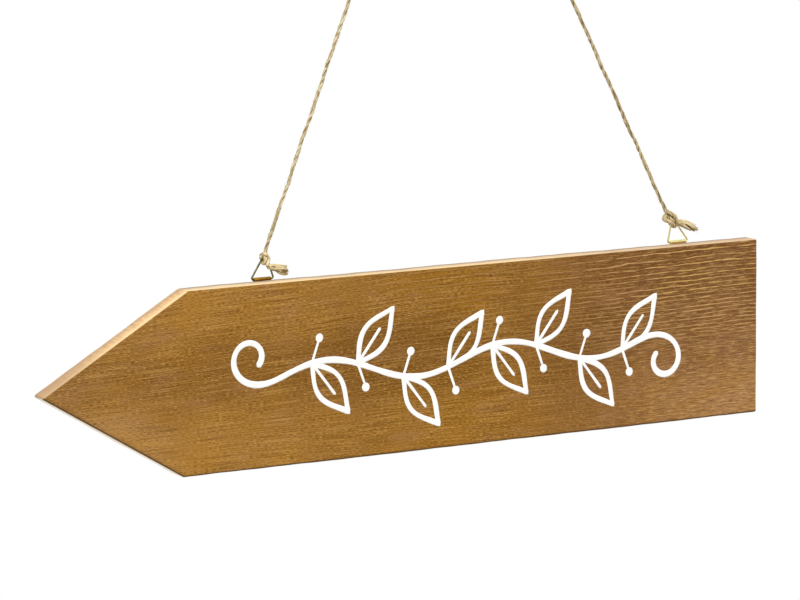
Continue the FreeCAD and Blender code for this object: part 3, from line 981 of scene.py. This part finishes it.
# %% Stained wood
def make_stained_wood():
    """Stain by place along the board, then its dark band, blotches, flecks, strips, pores and rings, and bare
    wood on the edges."""
    material, tree, shader = begin_material("stained_wood", 0.6, specular=0.05)
    place = object_place(tree)
    along, deep, height = parts_of(tree, place)
    stain = ramp(
        tree, times_plus(tree, along, 2.58, 0.573),
        (0.06, (141, 99, 49)), (0.19, (163, 116, 51)), (0.42, (148, 103, 42)),
        (0.57, (147, 101, 28)), (0.75, (133, 91, 47)), (0.98, (146, 105, 70)),
    )
    stain = mix_colours(tree, read_attribute(tree, "stain_pale"), stain, (192, 146, 94))
    cloud = streaks(tree, place, (26.0, 1.0, 22.0))
    darkness = calculate(tree, "SUBTRACT", read_attribute(tree, "stain_depth"), 0.7)
    darkness = times_plus(tree, cloud, 1.4, darkness)
    stain = tint(tree, stain, (204, 196, 186), darkness, -0.1, 1.3, blend="MULTIPLY")
    warm = streaks(tree, place, (45.0, 1.0, 110.0))
    stain = tint(tree, stain, (255, 248, 200), warm, 0.46, 0.62, 0.6, "MULTIPLY")
    stain = tint(tree, stain, (166, 118, 84), warm, 0.46, 0.32, 0.25)

    sway = times_plus(tree, streaks(tree, place, (9.0, 1.0, 12.0)), 0.005, height)
    slope = spread(tree, height, -0.285, -0.240, 0.02, -0.045)
    level = times_plus(tree, slope, calculate(tree, "MINIMUM", along, 0.0), sway)
    flow = add_node(tree, "ShaderNodeCombineXYZ", {0: along, 1: deep, 2: level}).outputs[0]
    fleck = streaks(tree, flow, (520.0, 400.0, 2700.0))
    strip = streaks(tree, flow, (34.0, 300.0, 2200.0))
    pore = streaks(tree, flow, (150.0, 400.0, 3400.0))
    dash = streaks(tree, flow, (170.0, 400.0, 1900.0))

    patchy = spread(tree, streaks(tree, place, (38.0, 1.0, 75.0)), 0.36, 0.60, 0.7, 1.1)
    patchy = times(tree, patchy, spread(tree, along, 0.0, 0.08, 1.0, 0.6))
    for grain, share in ((fleck, 0.84), (strip, 0.60)):
        for low, high, colour in ((0.50, 0.70, (192, 146, 78)), (0.50, 0.30, (100, 64, 22))):
            mark = times(tree, spread(tree, grain, low, high, 0.0, share), patchy)
            stain = mix_colours(tree, mark, stain, colour)
    open_pore = times(tree, spread(tree, pore, 0.42, 0.26), spread(tree, along, -0.16, 0.02, 0.3, 0.55))
    stain = mix_colours(tree, open_pore, stain, (96, 62, 26))
    square_end = spread(tree, along, 0.03, 0.13, 0.0, 0.6)
    for low, high, colour in ((0.52, 0.68, (206, 160, 100)), (0.48, 0.32, (94, 56, 26))):
        stain = mix_colours(tree, times(tree, spread(tree, dash, low, high), square_end), stain, colour)

    light, dark = growth_line_masks(tree, place)
    # Dark wood beside each light line, partly painted shadow of the ridge.
    stain = mix_colours(tree, times(tree, dark, 0.75), stain, (104, 64, 36))
    hard_wood = ramp(tree, cloud, (0.36, (204, 160, 106)), (0.62, (206, 164, 94)))
    stain = mix_colours(tree, light, stain, hard_wood)
    bare_share, slanting, below = parts_of(tree, read_attribute(tree, "edge", "Vector"))
    bare = make_bare_wood(tree, place, along, deep, slanting, below)
    coloured = mix_colours(tree, bare_share, stain, bare)
    # Painted shade on the two down-facing front arrises.
    arris = times(tree, read_attribute(tree, "painted_arris_shade"), 0.92)
    tree.links.new(mix_colours(tree, arris, coloured, (72, 48, 24)), shader.inputs["Base Color"])
    tree.links.new(spread(tree, fleck, 0.3, 0.7, 0.68, 0.5), shader.inputs["Roughness"])
    relief = times_plus(tree, light, 1.2, times_plus(tree, pore, 0.6, fleck))
    add_bump(tree, shader, relief, 0.3, 0.0002)
    return material


# %% Board in place
board = make_board(make_stained_wood())
mark_board(board.data)
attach(board, "sign")
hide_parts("board")

# %% [markdown]
# ## Rings and hangers
# The rings are bent from round wire, so each is a circle carried along a belt round three bends. The
# straps and screws keep their solids' shapes and get brass and zinc with dull patches.


# %% Wire rings
def ring_line(x, lean, slide, half_base=4.6, corner=0.85, top=1.6, gap=0.15, steps=14):
    """Middle line of a ring: arcs round the right corner, the top and the left corner, each from the normal
    of the run before it to the normal of the run after it, joined by straight runs."""
    middles = np.array([(slide + half_base, corner), (lean, ring_height - top), (slide - half_base, corner)])
    radii = np.array([corner, top, corner])
    run = middles[1:] - middles[:-1]
    span = np.linalg.norm(run, axis=1, keepdims=True)
    along = (radii[:-1] - radii[1:])[:, None] / span
    aside = np.sqrt(1 - along ** 2)
    outward = (run * along + np.c_[run[:, 1], -run[:, 0]] * aside) / span
    normals = np.concatenate([[(0.0, -1.0)], outward, [(0.0, -1.0)]])
    angles = np.unwrap(np.arctan2(normals[:, 1], normals[:, 0]))
    turned = angles[:-1, None] + np.linspace(0, 1, steps) * np.diff(angles)[:, None]
    arcs = middles[:, None] + radii[:, None, None] * np.stack([np.cos(turned), np.sin(turned)], -1)
    line = np.concatenate([[(slide + gap, 0.0)], arcs.reshape(-1, 2), [(slide - gap, 0.0)]])
    return np.stack([x + line[:, 0], np.zeros(len(line)), hinge_height + line[:, 1]], -1)


def bent_wire(line, radius, sides=18):
    """A circle carried along a flat line: middle + radius (cos a * Y + sin a * (tangent x Y))."""
    depth_axis = np.array((0, 1, 0))
    across = np.cross(unit(np.gradient(line, axis=0)), depth_axis)
    around = circle_angles(sides)[None, :, None]
    points = line[:, None] + radius * (np.cos(around) * depth_axis + np.sin(around) * across[:, None])
    return points.reshape(-1, 3), tube_faces(len(line), sides)


# %% Metal materials
def make_metal(name, bright, dull, patch, roughness, worn=0.5, shade=None):
    """Metal whose colour and roughness go from bright to dull by the shared dull patches. Shade, if given,
    takes the tree and that colour and returns the colour with the piece's painted light and shade on it."""
    material, tree, shader = begin_material(name, roughness, metallic=1.0)
    dullness = dulling(tree, patch)
    colour = mix_colours(tree, dullness, bright, dull)
    tree.links.new(shade(tree, colour) if shade else colour, shader.inputs["Base Color"])
    tree.links.new(spread(tree, dullness, 0.0, 1.2, roughness, worn), shader.inputs["Roughness"])
    add_bump(tree, shader, dullness, 0.15, 0.0001)
    return material


def knuckle_painted_light(tree, colour):
    """Painted dark reflection low on the rolled knuckle, and a painted highlight on its crest; the right
    hanger is painted lighter.
    """
    across, _, height = parts_of(tree, object_place(tree))
    right_painted_lighter = spread(tree, across, -0.02, 0.02)
    low = times_plus(tree, right_painted_lighter, -0.00035, -0.2011)
    # Painted highlight on the crest, strongest on the right hanger.
    painted_crest_highlight = spread(tree, height, low, calculate(tree, "ADD", low, 0.0006))
    painted_crest_highlight = times(tree, painted_crest_highlight, times_plus(tree, right_painted_lighter, 0.75, 0.2))
    # Painted dark reflection: a brown band low on the knuckle, mostly on the left hanger.
    painted_dark_reflection = times(tree, spread(tree, height, -0.2010, -0.2020), spread(tree, height, -0.2040, -0.2030))
    painted_dark_reflection = times(tree, painted_dark_reflection, times_plus(tree, right_painted_lighter, -0.85, 0.9))
    # Painted light: the right knuckle is lighter.
    colour = mix_colours(tree, times(tree, right_painted_lighter, 0.45), colour, (232, 208, 140))
    colour = mix_colours(tree, painted_dark_reflection, colour, (84, 46, 6))
    return mix_colours(tree, painted_crest_highlight, colour, (255, 250, 190))


def ring_painted_light_right(tree, colour):
    """The right ring is painted paler, as painted light."""
    across = parts_of(tree, object_place(tree))[0]
    return tint(tree, colour, (222, 212, 152), across, -0.02, 0.02, 0.8)


brass_plate = make_metal(
    "brass_plate", bright=(194, 144, 44), dull=(146, 100, 26),
    patch=500.0, roughness=0.28, shade=knuckle_painted_light,
)
brass_wire = make_metal(
    "brass_wire", bright=(124, 122, 72), dull=(68, 67, 38), patch=450.0, roughness=0.3, shade=ring_painted_light_right
)
screw_steel = make_metal(
    "screw_steel", bright=(206, 190, 150), dull=(140, 124, 88), patch=700.0, roughness=0.3
)

# %% Hangers in place
wire_radius = 0.44
for side, hanger in hangers.items():
    points, faces = bent_wire(ring_line(**hanger), wire_radius)
    ring = make_piece(f"wire_ring_{side}", points, faces, brass_wire)
    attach(ring, "suspension")
    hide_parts(f"ring_{side}")
    for node, material in ((f"strap_{side}", brass_plate), (f"screw_{side}", screw_steel)):
        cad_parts[node].data.materials.clear()
        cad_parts[node].data.materials.append(material)

# %% [markdown]
# ## Painted vine
# A plain leafy vine is painted on the face in white. Each brush stroke is a low rounded ribbon along a
# line in the face's plane. It follows the relief of the wood and sinks a little into it, so it never
# floats, and its width swells and thins as a brush does.

# %% Brush strokes
paint_height, paint_sink = 0.12, 0.15


def leaf_line(base, axis, length, width, steps=44):
    """Outline of a leaf, pointed at both ends: out along one side and back along the other, each side
    bulging by width * sin(pi t)^1.2, and a little less towards the tip."""
    t = np.r_[np.linspace(0, 1, steps), np.linspace(1, 0, steps)[1:]]
    side = np.r_[np.ones(steps), -np.ones(steps - 1)]
    bulge = side * width * np.clip(np.sin(np.pi * t), 0, 1) ** 1.2 * (1.15 - 0.3 * t)
    return base + length * t[:, None] * axis + bulge[:, None] * np.array([-axis[1], axis[0]])


def curl_line(start, angle, size=62.0, turns=0.95, steps=60):
    """A tendril: the heading turns right, faster and faster, and the line is the running sum of headings."""
    t = np.linspace(0, 1, steps)
    heading = angle - 2 * np.pi * turns * t ** 1.8
    step = size * np.c_[np.cos(heading), np.sin(heading)] / steps
    return start + np.cumsum(step, axis=0)


def brush_stroke(line, width, seed, columns=7):
    """A low ribbon: across = v * width / 2, height = paint height * (1 - v^4), tapered to round ends, on the
    wood's relief, and closed below by a flat underside sunk under the face."""
    run = run_length(line)
    ahead = unit(np.gradient(line, axis=0))
    aside = np.c_[-ahead[:, 1], ahead[:, 0]]
    near_end = np.minimum(run, run[-1] - run) / (width / 2)
    round_end = np.sqrt(np.clip(1 - (1 - np.clip(near_end, 0.02, 1)) ** 2, 0.02, 1))
    phase = np.random.default_rng(seed).uniform(0, 6, 2)
    hand = 1 + 0.08 * np.sin(run / 7 + phase[0]) + 0.04 * np.sin(run / 2.3 + phase[1])
    v = np.linspace(-1, 1, columns)
    reach = (width / 2 * round_end * hand)[:, None] * v
    plan = line[:, None] + reach[..., None] * aside[:, None]
    x, z = plan[..., 0], plan[..., 1]
    crown = paint_height * (1 - v ** 4) * round_end[:, None]
    top = np.stack([x, board_front - face_relief(x, z) - crown, z], -1)
    under = np.stack([x, np.full_like(x, board_front + paint_sink), z], -1)[:, ::-1]
    points = np.concatenate([top, under], axis=1)
    return points.reshape(-1, 3), tube_faces(len(line), 2 * columns)


# %% Lines of the vine
stem_x, stem_z, stem_half = -3.0, -246.0, 95.0
wave_rise, wave_stretch = 6.0, 15.5
first_leaf_x, leaf_step, leaf_end_x = -84.0, 24.3, 90.0
leaf_angle, berry_angle = math.radians(52), math.radians(70)
leaf_length, leaf_bulge, vein_length = 31.0, 6.6, 20.0
stalk_length, berry_start, berry_end = 10.5, 10.0, 14.2
stem_width, leaf_width, vein_width, stalk_width, berry_width = 2.9, 2.5, 1.5, 1.3, 4.2


def stem_at(x):
    """Places on the stem: a sine wave along the board."""
    return np.stack([x, stem_z + wave_rise * np.sin((x - stem_x) / wave_stretch)], -1)


def rising(angle, side):
    """Unit vector at an angle to the board's length, above it or below it."""
    return np.array([math.cos(angle), side * math.sin(angle)])


def vine_strokes():
    """Lines and widths of the vine: a waving stem that ends in two tendrils, leaves on alternate sides with a
    vein each, and a berry on a short stalk across from each leaf."""
    stem = stem_at(np.linspace(stem_x - stem_half, stem_x + stem_half, 150))
    slope = math.atan(wave_rise / wave_stretch * math.cos(stem_half / wave_stretch))
    left_curl = curl_line(stem[0], math.pi + slope)[::-1]
    right_curl = curl_line(stem[-1], slope)
    strokes = [(np.concatenate([left_curl, stem, right_curl]), stem_width)]
    for number, base in enumerate(stem_at(np.arange(first_leaf_x, leaf_end_x, leaf_step))):
        side = 1 if number % 2 else -1
        out, across = rising(leaf_angle, side), rising(berry_angle, -side)
        strokes.append((leaf_line(base, out, leaf_length, leaf_bulge), leaf_width))
        strokes.append((np.linspace(base, base + vein_length * out, 24), vein_width))
        strokes.append((np.linspace(base, base + stalk_length * across, 16), stalk_width))
        strokes.append((base + across * np.linspace(berry_start, berry_end, 14)[:, None], berry_width))
    print("vine:", len(strokes), "strokes")
    return strokes


# %% Paint on the face
def make_white_paint():
    """White paint with the grain showing faintly through it."""
    material, tree, shader = begin_material("white_paint", 0.6, specular=0.3)
    grain = streaks(tree, object_place(tree), (110.0, 300.0, 1200.0))
    white = ramp(tree, grain, (0.30, (238, 235, 228)), (0.50, (249, 248, 245)))
    tree.links.new(white, shader.inputs["Base Color"])
    add_bump(tree, shader, grain, 0.2, 0.0002)
    return material


strokes = enumerate(vine_strokes(), start=60)
points, faces = joined(brush_stroke(line, width, seed) for seed, (line, width) in strokes)
paint = make_piece("painted_vine", points, faces, make_white_paint())
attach(paint, "sign")
